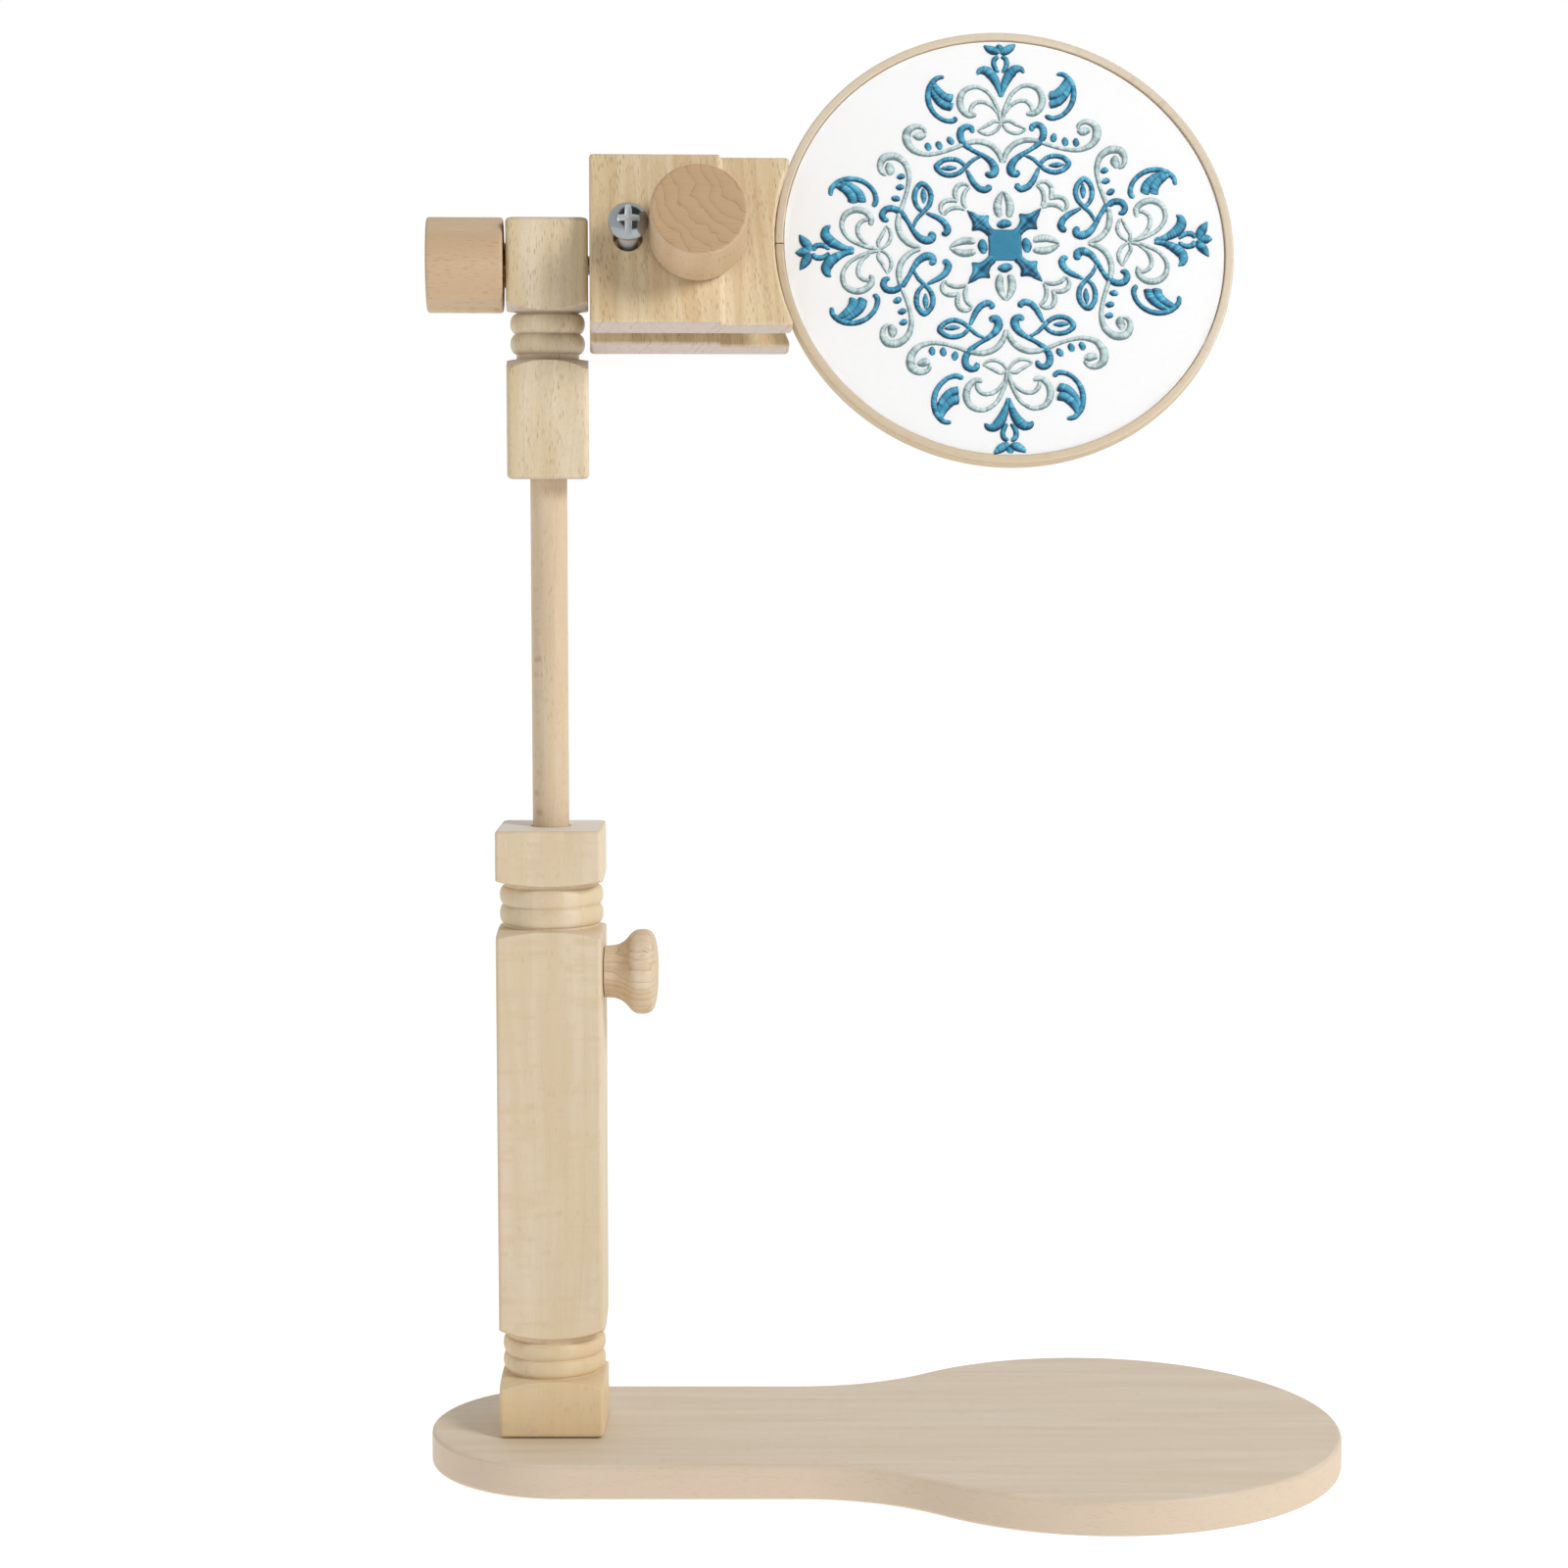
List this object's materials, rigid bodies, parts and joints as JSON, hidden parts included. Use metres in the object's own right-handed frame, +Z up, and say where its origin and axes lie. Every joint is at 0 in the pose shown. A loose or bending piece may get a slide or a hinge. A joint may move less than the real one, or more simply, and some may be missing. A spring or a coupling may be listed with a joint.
{
  "type": "embroidery hoop on stand",
  "caption": "Wooden table stand with a sliding, turning mast and a tilting screw clamp that holds a round embroidery hoop with stretched stitched cloth.",
  "frame": {"origin": "middle of the base board's underside, which is the middle of the overall box at its lowest level", "axes": "+X along the board from the post towards its wide end, +Y to the back, +Z up the post"},
  "size_m": [0.291, 0.158, 0.4534],
  "materials": {
    "beech_board": "smooth sanded pale beech, satin",
    "beech_post": "sanded beech with faint blotches",
    "beech_fleck": "sanded beech with short brown flecks along the grain",
    "beech_tan": "turned beech, slightly orange, satin",
    "beech_ring": "thin steamed beech strip, satin",
    "bright_steel": "bright zinc-plated steel",
    "brass": "plain brass",
    "white_cloth": "fine white plain-weave cotton with satin-stitch embroidery in blue and mint"
  },
  "bodies": {
    "root": {"base_board": "beech_board", "base_screw_front": "brass", "base_screw_back": "brass", "lower_post": "beech_post", "lock_insert": "brass"},
    "lock_feed": {"lock_stud": "bright_steel"},
    "lock_handle": {"lock_knob": "beech_tan"},
    "mast": {"mast_rod": "beech_tan"},
    "head_post": {"upper_post": "beech_fleck"},
    "head": {"back_jaw": "beech_fleck", "tilt_axle": "bright_steel", "guide_screw": "bright_steel", "clamp_stud": "bright_steel"},
    "tilt_feed": {"tilt_knob_insert": "brass"},
    "tilt_handle": {"tilt_knob": "beech_tan"},
    "jaw": {"front_jaw": "beech_fleck"},
    "clamp_handle": {"clamp_knob": "beech_tan", "clamp_knob_insert": "brass"},
    "hoop": {"hoop_outer_ring": "beech_ring", "hoop_bracket_upper": "brass", "hoop_bracket_lower": "brass", "bracket_rivet_upper": "brass", "bracket_rivet_lower": "brass", "tension_nut": "brass"},
    "tension_feed": {"tension_screw": "brass"},
    "tension_handle": {"tension_thumb_head": "brass"},
    "cloth_ring": {"hoop_inner_ring": "beech_ring", "hoop_fabric": "white_cloth"}
  },
  "joints": [
    {"name": "lock_feed_slide", "type": "slide", "parent": "root", "child": "lock_feed", "axis": [1, 0, 0], "range_m": [0, 0.003]},
    {"name": "lock_knob_turn", "type": "hinge", "parent": "lock_feed", "child": "lock_handle", "pos_m": [-0.0887, 0, 0.158], "axis": [1, 0, 0], "range_deg": [0, 1080]},
    {"name": "height_slide", "type": "slide", "parent": "root", "child": "mast", "axis": [0, 0, 1], "range_m": [-0.082, 0.025]},
    {"name": "head_swivel", "type": "hinge", "parent": "mast", "child": "head_post", "pos_m": [-0.1062, 0, 0.33], "axis": [0, 0, 1], "continuous": true},
    {"name": "head_tilt", "type": "hinge", "parent": "head_post", "child": "head", "pos_m": [-0.1062, 0, 0.3794], "axis": [0.9982, 0.0593, 0], "continuous": true},
    {"name": "tilt_feed_slide", "type": "slide", "parent": "head", "child": "tilt_feed", "axis": [-0.9982, -0.0593, 0], "range_m": [0, 0.003]},
    {"name": "tilt_knob_turn", "type": "hinge", "parent": "tilt_feed", "child": "tilt_handle", "pos_m": [-0.13215, -0.00154, 0.3794], "axis": [-0.9982, -0.0593, 0], "range_deg": [0, 1080]},
    {"name": "jaw_slide", "type": "slide", "parent": "head", "child": "jaw", "axis": [0.056, -0.9427, 0.3289], "range_m": [0, 0.006]},
    {"name": "clamp_knob_turn", "type": "hinge", "parent": "jaw", "child": "clamp_handle", "pos_m": [-0.0588, -0.02557, 0.38927], "axis": [0.056, -0.9427, 0.3289], "range_deg": [0, 2160]},
    {"name": "hoop_pull", "type": "slide", "parent": "head", "child": "hoop", "axis": [0.9982, 0.0593, 0], "range_m": [0, 0.06]},
    {"name": "tension_feed_slide", "type": "slide", "parent": "hoop", "child": "tension_feed", "axis": [-0.0195, 0.3283, 0.9444], "range_m": [0, 0.0021]},
    {"name": "tension_head_turn", "type": "hinge", "parent": "tension_feed", "child": "tension_handle", "pos_m": [-0.04289, -0.00005, 0.39205], "axis": [-0.0195, 0.3283, 0.9444], "range_deg": [0, 1080]},
    {"name": "cloth_ring_lift", "type": "slide", "parent": "hoop", "child": "cloth_ring", "axis": [0.056, -0.9427, 0.3289], "range_m": [0, 0.02]}
  ],
  "couplings": [
    {"joint": "lock_knob_turn", "follows": "lock_feed_slide", "rad_per_m": 6283.2},
    {"joint": "tilt_knob_turn", "follows": "tilt_feed_slide", "rad_per_m": 6283.2},
    {"joint": "clamp_knob_turn", "follows": "jaw_slide", "rad_per_m": 6283.2},
    {"joint": "tension_head_turn", "follows": "tension_feed_slide", "rad_per_m": 8976}
  ]
}
